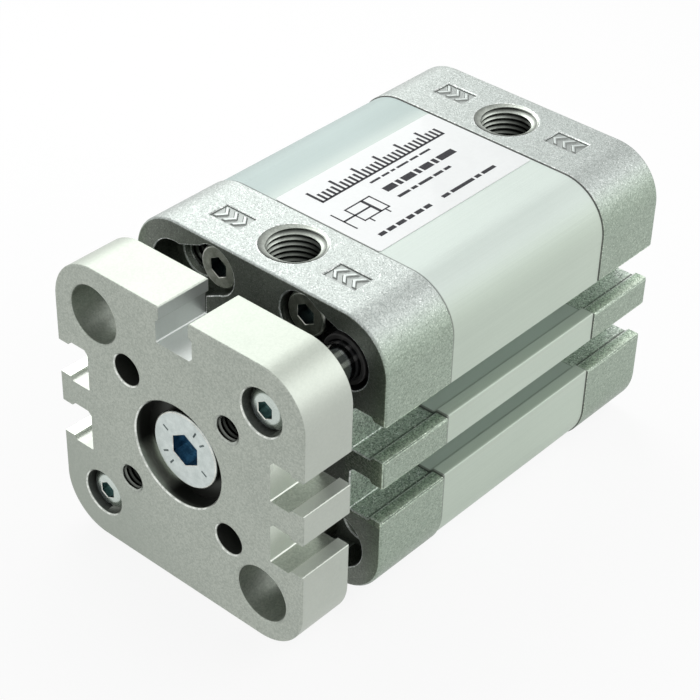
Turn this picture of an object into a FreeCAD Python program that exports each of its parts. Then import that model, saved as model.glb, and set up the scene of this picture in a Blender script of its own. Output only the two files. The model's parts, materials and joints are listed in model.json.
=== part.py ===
import FreeCAD, Part
import math
import os

# Guided compact pneumatic cylinder, bore 32, stroke 20, with a yoke plate on the rod.
# Frame: +X is the stroke direction, +Z is up (ports on top), and the origin is the centre of the
# rear mounting face, on the rod axis. All sizes are in millimetres.

# ---- clearances ----
seat_gap = 0.05            # radial gap of a piece that is pressed, screwed or glued in place
run_gap = 0.04             # radial gap of a sliding bearing
free_gap = 0.6             # radial gap where a moving rod passes through a plain hole
end_gap = 0.1              # axial gap left at each end of the stroke

# ---- body ----
stroke = 20.0
bore_radius = 16.0
mount_pitch = 32.5         # square spacing of the mounting holes and guide rods
side_margin = 7.95         # from the centre of a mounting hole to the side of the barrel
body_corner = 8.0          # outer corner radius of the barrel
cap_proud = 0.2            # the cast caps stand this far outside the barrel
cap_length = 14.2
cap_edge = 0.5             # rounding round the outer face of a cap
spigot_length = 3.0        # length of a cap inside the bore
mount_core = 2.5           # core radius of the M6 mounting thread
mount_depth = 12.0

# ---- side slots of body and plate ----
slot_offset = 5.5          # height of a slot centre above or below the axis
slot_mouth = 2.87          # half the width of the mouth
slot_cavity = 3.5          # half the width behind the lips
slot_lip = 2.15            # thickness of the lips
slot_bevel = 0.5           # slope behind a lip
slot_depth = 6.15
slot_edge = 0.15           # broken edge at the mouth
slot_root = 0.6            # sloped inner corner at the floor
slot_foot = 0.15           # the other inner corner, nearly sharp
cast_growth = 0.2          # the slots of a cast cap are this much larger all round

# ---- pockets in the face of a cap ----
pocket_depth = 5.0
tie_y = 8.4                # sideways distance of a tie screw from the axis
tie_inset = 4.6            # distance of a tie screw from the top or bottom of the barrel
tie_pocket = 4.0           # pocket radius round a tie screw
corner_pocket = 4.7        # pocket radius round a mounting hole or guide rod
pocket_reach = 6.15        # inner side of the corner pocket, from the centre of the hole

# ---- ports ----
port_setback = 7.6         # distance from the outer face of the cap
port_core = 4.28           # core radius of the G1/8 thread
port_rim = 5.1
port_depth = 8.5
port_duct = 1.3            # radius of the air ducts below the port
duct_height = 12.3         # height of the duct into the bore
pad_setback = 6.7
pad_side = 11.05           # distance of a marking pad from the port
pad_length = 3.8
pad_width = 5.8
pad_depth = 0.3

# ---- seals and bumpers of a cap ----
ring_setback = 0.8         # wall between the spigot face and the O-ring groove
ring_width = 1.4
ring_height = 1.8
bumper_inner = 8.3
bumper_outer = 10.6
bumper_depth = 1.6

# ---- piston ----
piston_length = 9.4
piston_side_gap = 0.4      # radial gap of the piston body in the bore
seal_width = 2.2
seal_height = 2.6
seal_setback = 1.0         # wall between the piston face and the seal groove
magnet_width = 1.8
magnet_wall = 4.8
magnet_gap = 0.2           # radial gap between the magnet and the wear band
wear_band_wall = 1.96
nut_flat = 5.5             # half the width across the flats of the nut
nut_height = 2.6
nut_pocket = 7.0
rod_seat_depth = 1.4       # depth of the rod shoulder in the front half of the piston

# ---- rods and their bearings ----
rod_radius = 6.0
rod_spigot = 4.0           # radius of the rod where it carries the piston
rod_bush_wall = 1.5
bush_shoulder = 0.5        # web of the cap between the rod bush and the rod seal
rod_seal_outer = 9.0
rod_seal_length = 4.0
rod_seal_sunk = 0.5        # the seal ends this far inside the cap face
guide_radius = 3.0
guide_bush_wall = 0.85
guide_bush_sunk = 0.2      # the bush ends this far inside the cap face
guide_shoulder = 1.0       # web of the cap behind a guide bush
guide_tail = 2.0           # space behind a guide rod when it is fully in
rod_edge = 0.6

# ---- yoke plate ----
plate_gap = 6.5            # between the front cap and the plate, rod in
plate_inset = 0.1          # the plate is this much smaller than the barrel on each side
plate_thickness = 9.7
plate_edge = 0.15
hole_edge = 0.25           # broken edge round the holes
pilot_radius = 8.5
pilot_depth = 3.0
rod_seat = 2.0             # depth of the rod seats in the back of the plate
access_radius = 4.6        # through holes over the front mounting threads
yoke_pitch = 19.7          # square spacing of the dowel holes and tool threads
yoke_thread = 2.1          # core radius of the M5 tool threads
dowel_radius = 2.5
screw_pocket = 3.7         # counterbore radius of the guide rod screws
screw_pocket_depth = 3.0

# ---- screws ----
m4_radius = 2.0
m6_radius = 3.0
tie_head_radius = 3.5
tie_head_height = 4.0
tie_screw_grip = 8.0       # thread length in the barrel
tie_hex = 1.5              # half the width across the flats
tie_hex_depth = 2.0
button_radius = 3.55
button_height = 2.2
button_rim = 0.4           # height of the straight rim below the dome
button_hex = 1.25
button_hex_depth = 1.3
button_grip = 8.0
yoke_head_radius = 6.25
yoke_head_rise = 1.5       # height of the head above the pilot floor
yoke_head_rim = 0.4        # height of the straight rim above the cone
yoke_hex = 2.4
yoke_hex_depth = 2.6
yoke_grip = 12.0

# ---- label ----
label_width = 20.2
label_margin = 0.3         # bare strip of the barrel at each end of the label
label_thickness = 0.1

# ---- derived positions ----
half_pitch = mount_pitch / 2
body_half = half_pitch + side_margin
tie_z = body_half - tie_inset
plate_half = body_half - plate_inset
barrel_length = stroke + piston_length + 2 * end_gap + 2 * spigot_length
barrel_rear = cap_length
barrel_front = cap_length + barrel_length
body_length = barrel_front + cap_length
piston_rear = barrel_rear + spigot_length + end_gap
piston_front = piston_rear + piston_length
piston_middle = (piston_rear + piston_front) / 2
plate_back = body_length + plate_gap
plate_front = plate_back + plate_thickness
rod_shoulder = piston_front - rod_seat_depth
rod_end = plate_back + rod_seat
cap_half = body_half + cap_proud
spigot_radius = bore_radius - seat_gap
seal_lip_radius = bore_radius - run_gap
wear_band_inner = seal_lip_radius - wear_band_wall
magnet_outer = wear_band_inner - magnet_gap
magnet_inner = magnet_outer - magnet_wall
spigot_end = cap_length + spigot_length
seal_end = rod_seal_sunk + rod_seal_length
rod_bush_start = seal_end + bush_shoulder
rod_bush_outer = rod_radius + run_gap + rod_bush_wall
guide_bush_end = cap_length - guide_shoulder
guide_bush_outer = guide_radius + run_gap + guide_bush_wall
guide_corners = [(1, 1), (-1, -1)]
mount_corners = [(-1, 1), (1, -1)]
all_corners = guide_corners + mount_corners


def vec(x, y, z):
    return FreeCAD.Vector(x, y, z)


def rod_along_x(radius, x0, x1, y=0.0, z=0.0):
    return Part.makeCylinder(radius, x1 - x0, vec(x0, y, z), vec(1, 0, 0))


def cone_along_x(radius0, radius1, x0, x1, y=0.0, z=0.0):
    return Part.makeCone(radius0, radius1, x1 - x0, vec(x0, y, z), vec(1, 0, 0))


def tube(inner, outer, x0, x1, y=0.0, z=0.0):
    return rod_along_x(outer, x0, x1, y, z).cut(rod_along_x(inner, x0 - 1, x1 + 1, y, z))


def turned(points, y=0.0, z=0.0):
    """Solid of revolution about a line along X; points are (x, radius) pairs."""
    wire = Part.makePolygon([vec(x, y, z + r) for x, r in points + points[:1]])
    return Part.Face(wire).revolve(vec(0, y, z), vec(1, 0, 0), 360)


def prism_along_x(points, x0, x1):
    """Straight prism from a closed outline of (y, z) pairs."""
    wire = Part.makePolygon([vec(x0, y, z) for y, z in points + points[:1]])
    return Part.Face(wire).extrude(vec(x1 - x0, 0, 0))


def hexagon(flat, x0, x1, y=0.0, z=0.0):
    """Hexagonal prism; flat is half the width across the flats."""
    reach = flat / math.cos(math.pi / 6)
    angles = [math.pi / 6 + k * math.pi / 3 for k in range(6)]
    return prism_along_x([(y + reach * math.cos(a), z + reach * math.sin(a)) for a in angles], x0, x1)


def square_bar(half, corner, x0, x1):
    """Square bar along X with rounded long edges."""
    bar = Part.makeBox(x1 - x0, 2 * half, 2 * half, vec(x0, -half, -half))
    long_edges = [e for e in bar.Edges if abs(e.Vertexes[0].X - e.Vertexes[1].X) > 0.5 * (x1 - x0)]
    return bar.makeFillet(corner, long_edges)


def edges_at(shape, x):
    return [e for e in shape.Edges if abs(e.BoundBox.XMin - x) < 1e-6 and abs(e.BoundBox.XMax - x) < 1e-6]


def fuse(shapes):
    result = shapes[0]
    for shape in shapes[1:]:
        result = result.fuse(shape)
    return result.removeSplitter()


def cut(shape, tools):
    return shape.cut(Part.makeCompound(tools)).removeSplitter()


def t_slot(half, x0, x1, growth=0.0):
    """Slot open to +Y at y = half, centred on z = 0, with the sloped corner above."""
    mouth, cavity = slot_mouth + growth, slot_cavity + growth

    def side(corner):
        return [(half + 1, mouth + slot_edge), (half, mouth + slot_edge), (half - slot_edge, mouth),
                (half - slot_lip, mouth), (half - slot_lip - slot_bevel, cavity),
                (half - slot_depth + corner, cavity), (half - slot_depth, cavity - corner)]
    below = [(y, -z) for y, z in reversed(side(slot_foot))]
    return prism_along_x(side(slot_root) + below, x0, x1)


def side_slots(half, x0, x1, growth=0.0):
    """Two slots in each side of the body or the plate."""
    right = t_slot(half, x0, x1, growth)
    left = right.mirror(vec(0, 0, 0), vec(0, 1, 0))
    slots = []
    for slot in (right, left):
        for height in (slot_offset, -slot_offset):
            one = slot.copy()
            one.translate(vec(0, 0, height))
            slots.append(one)
    return slots


def face_pocket(sign_y, sign_z):
    """Keyhole pocket round a tie screw and the corner next to it, sunk from x = 0."""
    floor = half_pitch - corner_pocket
    inner = half_pitch - pocket_reach
    web = [(tie_y, tie_z + tie_pocket), (half_pitch - 0.9, half_pitch + 0.975 * corner_pocket),
           (half_pitch, half_pitch), (half_pitch, floor), (inner, floor),
           (inner, tie_z - 1.3 * tie_pocket), (tie_y - 1.0, tie_z - 0.965 * tie_pocket)]
    outline = [(sign_y * y, sign_z * z) for y, z in web]
    return fuse([rod_along_x(tie_pocket, -1, pocket_depth, sign_y * tie_y, sign_z * tie_z),
                 rod_along_x(corner_pocket, -1, pocket_depth, sign_y * half_pitch, sign_z * half_pitch),
                 prism_along_x(outline, -1, pocket_depth)])


def port_tools():
    """Port, its rim and the two air ducts, for a cap whose outer face is at x = 0."""
    top = vec(port_setback, 0, cap_half)
    down = vec(0, 0, -1)
    rim = port_rim - port_core
    return [Part.makeCylinder(port_core, port_depth, top, down),
            Part.makeCone(port_rim + 1, port_core, rim + 1, top + vec(0, 0, 1), down),
            Part.makeCylinder(port_duct + 0.4, cap_half - duct_height, top, down),
            rod_along_x(port_duct, port_setback, spigot_end + 1, 0, duct_height)]


def marking_pads():
    x0 = pad_setback - pad_length / 2
    return [Part.makeBox(pad_length, pad_width, 1, vec(x0, side * pad_side - pad_width / 2, cap_half - pad_depth))
            for side in (1, -1)]


def cap_blank():
    """What both caps share, with the outer face at x = 0 and the spigot towards +X."""
    block = square_bar(cap_half, body_corner + cap_proud, 0, cap_length)
    block = block.makeFillet(cap_edge, edges_at(block, 0))
    blank = block.fuse(rod_along_x(spigot_radius, cap_length - 1, spigot_end))
    ring_front = spigot_end - ring_setback
    tools = side_slots(cap_half, -1, cap_length + 1, cast_growth) + port_tools() + marking_pads()
    tools.append(tube(bore_radius - ring_height - seat_gap, bore_radius + 1, ring_front - ring_width, ring_front))
    tools.append(tube(bumper_inner - seat_gap, bumper_outer + seat_gap, spigot_end - bumper_depth, spigot_end + 1))
    for sign_y, sign_z in all_corners:
        tools.append(face_pocket(sign_y, sign_z))
        tools.append(rod_along_x(m4_radius + seat_gap, 0, cap_length + 1, sign_y * tie_y, sign_z * tie_z))
    return cut(blank, tools)


def mount_hole(sign_y, sign_z, depth):
    y, z = sign_y * half_pitch, sign_z * half_pitch
    chamfer = cone_along_x(mount_core + 0.8, mount_core, pocket_depth - 0.01, pocket_depth + 0.8, y, z)
    return rod_along_x(mount_core, 0, depth, y, z).fuse(chamfer)


def rear_cap():
    return cut(cap_blank(), [mount_hole(sy, sz, mount_depth) for sy, sz in all_corners])


def front_cap():
    """Same casting, bored for the piston rod and the two guide rods, then turned to face +X."""
    tools = [rod_along_x(rod_seal_outer + seat_gap, -1, seal_end),
             rod_along_x(rod_radius + free_gap, 0, spigot_end + 1),
             rod_along_x(rod_bush_outer + seat_gap, rod_bush_start, spigot_end + 1)]
    tools += [mount_hole(-sy, sz, cap_length + 1) for sy, sz in mount_corners]
    for sign_y, sign_z in guide_corners:
        y, z = -sign_y * half_pitch, sign_z * half_pitch
        tools.append(rod_along_x(guide_bush_outer + seat_gap, 0, guide_bush_end, y, z))
        tools.append(rod_along_x(guide_radius + free_gap, 0, cap_length + 1, y, z))
    return to_front(cut(cap_blank(), tools))


def to_front(shape):
    """Turn a piece built on the rear cap half a turn about Z, onto the front end."""
    turned_shape = shape.copy()
    turned_shape.rotate(vec(0, 0, 0), vec(0, 0, 1), 180)
    turned_shape.translate(vec(body_length, 0, 0))
    return turned_shape


def barrel():
    bar = square_bar(body_half, body_corner, barrel_rear, barrel_front)
    tools = side_slots(body_half, barrel_rear - 1, barrel_front + 1)
    tools.append(rod_along_x(bore_radius, barrel_rear - 1, barrel_front + 1))
    for sign_y, sign_z in all_corners:
        tools.append(rod_along_x(m4_radius + seat_gap, barrel_rear - 1, barrel_front + 1,
                                 sign_y * tie_y, sign_z * tie_z))
        tools.append(rod_along_x(guide_radius + free_gap, barrel_rear - 1, barrel_front + 1,
                                 sign_y * half_pitch, sign_z * half_pitch))
    return cut(bar, tools)


def label():
    length = barrel_length - 2 * label_margin
    return Part.makeBox(length, label_width, label_thickness,
                        vec(barrel_rear + label_margin, -label_width / 2, body_half))


def rounded_ring(inner, outer, x0, x1, edge):
    """Ring with a broken outer edge, flat on both sides."""
    return turned([(x0, inner), (x0, outer - edge), (x0 + edge, outer), (x1 - edge, outer),
                   (x1, outer - edge), (x1, inner)])


def barrel_seal():
    end = spigot_end - ring_setback
    return rounded_ring(bore_radius - ring_height, bore_radius - seat_gap / 2, end - ring_width, end, 0.35)


def bumper():
    root = spigot_end - bumper_depth
    return turned([(root, bumper_inner), (root, bumper_outer), (spigot_end - 0.4, bumper_outer),
                   (spigot_end, bumper_outer - 0.5), (spigot_end, bumper_inner + 0.5),
                   (spigot_end - 0.4, bumper_inner)])


def rod_bush():
    return to_front(tube(rod_radius + run_gap, rod_bush_outer, rod_bush_start, spigot_end))


def rod_seal():
    """Wiper seal: a full ring with a turned lip that stands towards the plate."""
    inner, outer = rod_radius + run_gap, rod_seal_outer
    x0, x1 = rod_seal_sunk, seal_end
    profile = [(x1, inner + 0.3), (x1, outer), (x0 + 0.3, outer), (x0 + 0.3, outer - 1.2),
               (x0 + 1.4, outer - 1.5), (x0, inner + 0.5), (x0, inner + 0.2), (x0 + 1.0, inner),
               (x1 - 1.0, inner)]
    return to_front(turned(profile))


def guide_bush(sign_y, sign_z):
    return to_front(tube(guide_radius + run_gap, guide_bush_outer, guide_bush_sunk, guide_bush_end,
                         -sign_y * half_pitch, sign_z * half_pitch))


def tie_screw(sign_y, sign_z):
    """Socket head screw with its head on the pocket floor of the rear cap."""
    y, z = sign_y * tie_y, sign_z * tie_z
    top = pocket_depth - tie_head_height
    screw = turned([(top, 0), (top, tie_head_radius - 0.3), (top + 0.3, tie_head_radius),
                    (pocket_depth, tie_head_radius), (pocket_depth, m4_radius),
                    (cap_length + tie_screw_grip - 0.5, m4_radius),
                    (cap_length + tie_screw_grip, m4_radius - 0.5), (cap_length + tie_screw_grip, 0)], y, z)
    return screw.cut(hexagon(tie_hex, top - 1, top + tie_hex_depth, y, z))


def tie_screws():
    return Part.makeCompound([tie_screw(sy, sz) for sy, sz in all_corners])


def piston_half(front):
    """Half of the piston, turned as one profile; the rear half takes the nut, the front half the rod."""
    outer = bore_radius - piston_side_gap
    groove = bore_radius - seal_height
    seal_x0 = piston_rear + seal_setback
    split = piston_middle - magnet_width / 2
    inner = rod_spigot + seat_gap
    pocket = rod_seat_depth if front else nut_height + 0.2
    pocket_radius = rod_radius + seat_gap if front else nut_pocket
    profile = [(piston_rear, pocket_radius), (piston_rear, outer - 0.4), (piston_rear + 0.4, outer),
               (seal_x0, outer), (seal_x0, groove - seat_gap), (seal_x0 + seal_width, groove - seat_gap),
               (seal_x0 + seal_width, outer), (split, outer), (split, magnet_inner),
               (piston_middle, magnet_inner), (piston_middle, inner),
               (piston_rear + pocket, inner), (piston_rear + pocket, pocket_radius)]
    half = turned(profile)
    return half.mirror(vec(piston_middle, 0, 0), vec(1, 0, 0)) if front else half


def piston_seal(front):
    """Lip seal: two lips that open towards the pressure side."""
    x0 = piston_rear + seal_setback
    x1 = x0 + seal_width
    inner, outer = bore_radius - seal_height, seal_lip_radius
    ring = turned([(x0, inner), (x0, inner + 0.7), (x0 + 0.9, inner + 1.1), (x0, outer - 0.5), (x0, outer),
                   (x0 + 1.0, outer), (x1, outer - 0.5), (x1, inner)])
    return ring.mirror(vec(piston_middle, 0, 0), vec(1, 0, 0)) if front else ring


def magnet_ring():
    half = magnet_width / 2
    return tube(magnet_inner + seat_gap, magnet_outer, piston_middle - half, piston_middle + half)


def wear_band():
    half = magnet_width / 2
    return rounded_ring(wear_band_inner, seal_lip_radius, piston_middle - half, piston_middle + half, 0.2)


def piston_nut():
    x1 = piston_rear + nut_height + 0.2
    nut = hexagon(nut_flat, x1 - nut_height, x1)
    return nut.cut(rod_along_x(rod_spigot + seat_gap, piston_rear - 1, x1 + 1))


def piston_rod():
    """Rod with a shoulder for the piston and a threaded hole for the yoke screw."""
    bar = turned([(piston_rear + 0.4, 0), (piston_rear + 0.4, rod_spigot - 0.5),
                  (piston_rear + 0.9, rod_spigot), (rod_shoulder, rod_spigot), (rod_shoulder, rod_radius),
                  (rod_end - rod_edge, rod_radius), (rod_end, rod_radius - rod_edge), (rod_end, 0)])
    return bar.cut(rod_along_x(m6_radius + seat_gap, rod_end - yoke_grip - 1, rod_end + 1))


def guide_rod(sign_y, sign_z):
    y, z = sign_y * half_pitch, sign_z * half_pitch
    x0 = barrel_rear + guide_tail
    bar = turned([(x0, 0), (x0, guide_radius - rod_edge), (x0 + rod_edge, guide_radius),
                  (rod_end, guide_radius), (rod_end, 0)], y, z)
    return bar.cut(rod_along_x(m4_radius + seat_gap, rod_end - button_grip - 1, rod_end + 1, y, z))


def plain_hole(radius, x0, x1, y, z):
    """Through or blind hole with a broken edge at the front of the plate."""
    rim = cone_along_x(radius, radius + hole_edge + 1, x1 - hole_edge, x1 + 1, y, z)
    return rod_along_x(radius, x0, x1 + 1, y, z).fuse(rim)


def yoke_plate():
    block = square_bar(plate_half, body_corner, plate_back, plate_front)
    block = block.makeChamfer(plate_edge, edges_at(block, plate_front) + edges_at(block, plate_back))
    top_slot = t_slot(plate_half, plate_back - 1, plate_front + 1)
    top_slot.rotate(vec(0, 0, 0), vec(1, 0, 0), 90)
    top_slot = top_slot.mirror(vec(0, 0, 0), vec(0, 1, 0))
    tools = side_slots(plate_half, plate_back - 1, plate_front + 1) + [top_slot]
    pilot_floor = plate_front - pilot_depth
    sink_radius = yoke_head_radius - (yoke_head_rise - yoke_head_rim) + seat_gap
    screw_hole = m6_radius + 0.2
    tools.append(plain_hole(pilot_radius, pilot_floor, plate_front, 0, 0))
    tools.append(cone_along_x(screw_hole, sink_radius, pilot_floor - (sink_radius - screw_hole), pilot_floor))
    tools.append(rod_along_x(screw_hole, plate_back - 1, plate_front))
    tools.append(rod_along_x(rod_radius + seat_gap, plate_back - 1, rod_end))
    for sign_y, sign_z in guide_corners:
        y, z = sign_y * half_pitch, sign_z * half_pitch
        tools.append(plain_hole(screw_pocket, plate_front - screw_pocket_depth, plate_front, y, z))
        tools.append(rod_along_x(m4_radius + 0.15, plate_back - 1, plate_front, y, z))
        tools.append(rod_along_x(guide_radius + seat_gap, plate_back - 1, rod_end, y, z))
        y, z = sign_y * yoke_pitch / 2, sign_z * yoke_pitch / 2
        tools.append(plain_hole(yoke_thread, plate_back - 1, plate_front, y, z))
    for sign_y, sign_z in mount_corners:
        y, z = sign_y * half_pitch, sign_z * half_pitch
        tools.append(plain_hole(access_radius, plate_back - 1, plate_front, y, z))
        y, z = sign_y * yoke_pitch / 2, sign_z * yoke_pitch / 2
        tools.append(plain_hole(dowel_radius, plate_back - 1, plate_front, y, z))
    return cut(block, tools)


def yoke_screw():
    """Countersunk socket screw that holds the plate on the piston rod."""
    top = plate_front - pilot_depth + yoke_head_rise
    rim = top - yoke_head_rim
    tip = rod_end - yoke_grip
    profile = [(top, 0), (top, yoke_head_radius - 0.2), (top - 0.2, yoke_head_radius), (rim, yoke_head_radius),
               (rim - (yoke_head_radius - m6_radius), m6_radius), (tip + 0.6, m6_radius),
               (tip, m6_radius - 0.6), (tip, 0)]
    return turned(profile).cut(hexagon(yoke_hex, top - yoke_hex_depth, top + 1))


def guide_screw(sign_y, sign_z):
    """Button head screw that holds a guide rod to the plate."""
    y, z = sign_y * half_pitch, sign_z * half_pitch
    seat = plate_front - screw_pocket_depth
    top = seat + button_height
    tip = rod_end - button_grip
    dome = [(seat + button_rim + (button_height - button_rim) * math.sin(a),
             2.0 + (button_radius - 2.0) * math.cos(a)) for a in [k * math.pi / 12 for k in range(7)]]
    profile = [(seat, button_radius)] + dome + [(top, 0), (tip, 0), (tip, m4_radius - 0.5),
                                                (tip + 0.5, m4_radius), (seat, m4_radius)]
    return turned(profile, y, z).cut(hexagon(button_hex, top - button_hex_depth, top + 1, y, z))


def guide_screws():
    return Part.makeCompound([guide_screw(sy, sz) for sy, sz in guide_corners])


pieces = {
    "rear_cap": rear_cap(),
    "front_cap": front_cap(),
    "barrel": barrel(),
    "label": label(),
    "barrel_seal_rear": barrel_seal(),
    "barrel_seal_front": to_front(barrel_seal()),
    "bumper_rear": bumper(),
    "bumper_front": to_front(bumper()),
    "rod_bush": rod_bush(),
    "rod_seal": rod_seal(),
    "guide_bush_upper": guide_bush(1, 1),
    "guide_bush_lower": guide_bush(-1, -1),
    "rear_tie_screws": tie_screws(),
    "front_tie_screws": to_front(tie_screws()),
    "yoke_plate": yoke_plate(),
    "yoke_screw": yoke_screw(),
    "guide_screws": guide_screws(),
    "piston_rod": piston_rod(),
    "guide_rod_upper": guide_rod(1, 1),
    "guide_rod_lower": guide_rod(-1, -1),
    "piston_half_rear": piston_half(False),
    "piston_half_front": piston_half(True),
    "piston_seal_rear": piston_seal(False),
    "piston_seal_front": piston_seal(True),
    "magnet_ring": magnet_ring(),
    "wear_band": wear_band(),
    "piston_nut": piston_nut(),
}

os.makedirs("parts", exist_ok=True)
for name, shape in pieces.items():
    shape.exportStep("parts/" + name + ".step")
    print(name, "solids", len(shape.Solids), "valid", shape.isValid(), "volume", round(shape.Volume, 2))
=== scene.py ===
import json
import bmesh
import bpy
import numpy as np
from math import cos, pi, radians, sin, sqrt
from mathutils import Matrix, Vector


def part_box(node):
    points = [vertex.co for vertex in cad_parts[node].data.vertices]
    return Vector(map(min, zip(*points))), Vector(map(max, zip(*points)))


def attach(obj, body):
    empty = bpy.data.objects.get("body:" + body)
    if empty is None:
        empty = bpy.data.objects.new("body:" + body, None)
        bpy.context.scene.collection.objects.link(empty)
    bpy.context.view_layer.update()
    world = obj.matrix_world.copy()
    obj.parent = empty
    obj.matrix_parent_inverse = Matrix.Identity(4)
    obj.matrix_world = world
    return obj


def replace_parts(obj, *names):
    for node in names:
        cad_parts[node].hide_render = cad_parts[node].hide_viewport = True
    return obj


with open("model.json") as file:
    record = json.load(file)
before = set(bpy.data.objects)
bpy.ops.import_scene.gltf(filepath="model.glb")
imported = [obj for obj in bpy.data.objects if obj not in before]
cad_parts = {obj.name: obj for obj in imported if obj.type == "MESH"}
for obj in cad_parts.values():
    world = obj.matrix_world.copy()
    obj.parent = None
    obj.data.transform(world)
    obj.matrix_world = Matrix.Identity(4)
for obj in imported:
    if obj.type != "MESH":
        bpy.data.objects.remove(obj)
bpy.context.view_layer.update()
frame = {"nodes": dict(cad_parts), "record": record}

mm = 0.001
seamPlaces = [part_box("barrel")[end][0] for end in (0, 1)]


def span(node):                  # lowest and highest corner of a node, in millimetres
    low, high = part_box(node)
    return np.array(low) / mm, np.array(high) / mm


mounts = {m["name"]: m for m in frame["record"]["mounts"]}
pitchHalf = mounts["rear_threads"]["dims"]["spacing_x_mm"] / 2      # corner screws and rods from the axis
yokeHalf = mounts["yoke_threads"]["dims"]["pcd_mm"] / 2 / sqrt(2)   # threads of the plate from the axis
plateBack, plateFront = span("yoke_plate")[0][0], span("yoke_plate")[1][0]
capFront, capTop = span("front_cap")[1][0], span("front_cap")[1][2]
tieHeadHeight = 4.0
pocketFloor = span("front_tie_screws")[1][0] - tieHeadHeight        # where those screws' heads sit
print("frame loaded:", len(frame["nodes"]), "nodes")


# ---- shader maths ----

class Term:                      # wraps one socket, so that shader maths reads as maths
    def __init__(self, graph, socket):
        self.graph, self.socket = graph, socket

    def math(self, operation, other=0.0, swap=False, clamp=False):
        first, second = (other, self) if swap else (self, other)
        settings = {"operation": operation, "use_clamp": clamp}
        return self.graph.node("ShaderNodeMath", settings, {0: first, 1: second})

    def __add__(self, other): return self.math("ADD", other)
    def __radd__(self, other): return self.math("ADD", other)
    def __sub__(self, other): return self.math("SUBTRACT", other)
    def __rsub__(self, other): return self.math("SUBTRACT", other, swap=True)
    def __mul__(self, other): return self.math("MULTIPLY", other)
    def __rmul__(self, other): return self.math("MULTIPLY", other)
    def __truediv__(self, other): return self.math("DIVIDE", other)
    def __rtruediv__(self, other): return self.math("DIVIDE", other, swap=True)
    def __pow__(self, other): return self.math("POWER", other)
    def __abs__(self): return self.math("ABSOLUTE")
    def most(self, other): return self.math("MAXIMUM", other)
    def clamped(self): return self.math("ADD", 0.0, clamp=True)
    def output(self, name): return Term(self.graph, self.socket.node.outputs[name])

    def ramp(self, low, high, start=0.0, end=1.0):       # soft step from start to end between low and high
        return self.graph.node("ShaderNodeMapRange", {"interpolation_type": "SMOOTHSTEP"},
                               {0: self, 1: low, 2: high, 3: start, 4: end})

    def band(self, rise, fall):                          # 1 between two soft edges, each a pair of values
        return self.ramp(*rise) * self.ramp(*fall, 1.0, 0.0)


class Graph:                     # one material and its nodes
    def __init__(self, name, owner=None):
        self.material = owner or bpy.data.materials.new(name)
        self.material.use_nodes = True
        self.tree = self.material.node_tree
        self.tree.nodes.clear()

    def node(self, kind, settings=None, inputs=None, out=0):
        made = self.tree.nodes.new(kind)
        for key, value in (settings or {}).items():
            setattr(made, key, value)
        for key, value in (inputs or {}).items():
            if isinstance(value, Term):
                self.tree.links.new(value.socket, made.inputs[key])
            else:
                made.inputs[key].default_value = value
        return Term(self, made.outputs[out]) if made.outputs else made

    def point(self, scale=(1, 1, 1)):                    # object coordinates, stretched
        here = self.node("ShaderNodeTexCoord", out="Object")
        return self.node("ShaderNodeMapping", {}, {0: here, 3: scale})

    def axes(self, vector):
        parts = self.node("ShaderNodeSeparateXYZ", {}, {0: vector})
        return [parts.output(k) for k in range(3)]

    def noise(self, vector, scale, detail=2.0, rough=0.5):
        inputs = {"Vector": vector, "Scale": scale, "Detail": detail, "Roughness": rough}
        return self.node("ShaderNodeTexNoise", {}, inputs)

    def cells(self, vector, scale):                      # distance to a cell's middle; Color differs by cell
        return self.node("ShaderNodeTexVoronoi", {"feature": "F1"}, {"Vector": vector, "Scale": scale})

    def tone(self):                                      # shade that a piece's own mesh carries
        return self.node("ShaderNodeAttribute", {"attribute_name": "tone"}, {}, "Fac")

    def blend(self, factor, first, second, mode="MIX"):  # colours go through Mix
        settings = {"data_type": "RGBA", "blend_type": mode}
        return self.node("ShaderNodeMix", settings, {0: factor, 6: first, 7: second}).output(2)

    def bump(self, height, strength, distance, under=None):
        inputs = {"Strength": strength, "Distance": distance, "Height": height}
        if under is not None:
            inputs["Normal"] = under
        return self.node("ShaderNodeBump", {}, inputs)

    def seam(self, x, *widths):                          # 1 in the joints between the caps and the barrel
        near = [abs(x - place).ramp(width * 0.5, width, 1.0, 0.0) for place, width in zip(seamPlaces, widths)]
        return near[0].most(near[1])

    def seenPlainly(self):                               # 1 on rays seen direct, off metal or through glass
        path = self.node("ShaderNodeLightPath")
        seen = path.output("Is Camera Ray").most(path.output("Is Glossy Ray"))
        return seen.most(path.output("Is Transmission Ray"))

    def finish(self, **sockets):                         # principled surface; names use _ for a space
        inputs = {key.replace("_", " "): value for key, value in sockets.items()}
        surface = self.node("ShaderNodeBsdfPrincipled", {}, inputs)
        self.node("ShaderNodeOutputMaterial", {}, {"Surface": surface})
        return self.material


def rgb(red, green, blue):
    return (red, green, blue, 1.0)


# ---- mesh makers ----

meshLook = {"ownMerge": 2e-7, "copyMerge": 1e-6, "flatAngle": 0.5, "sharpAngle": 30.0, "bevelSteps": 2}


def linkedPiece(name, mesh, smoothAngle):
    # object at the origin, smooth but for the edges that turn by more than the angle
    mesh.shade_smooth()
    mesh.set_sharp_from_angle(angle=radians(smoothAngle))
    made = bpy.data.objects.new(name, mesh)
    bpy.context.scene.collection.objects.link(made)
    return made


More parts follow.
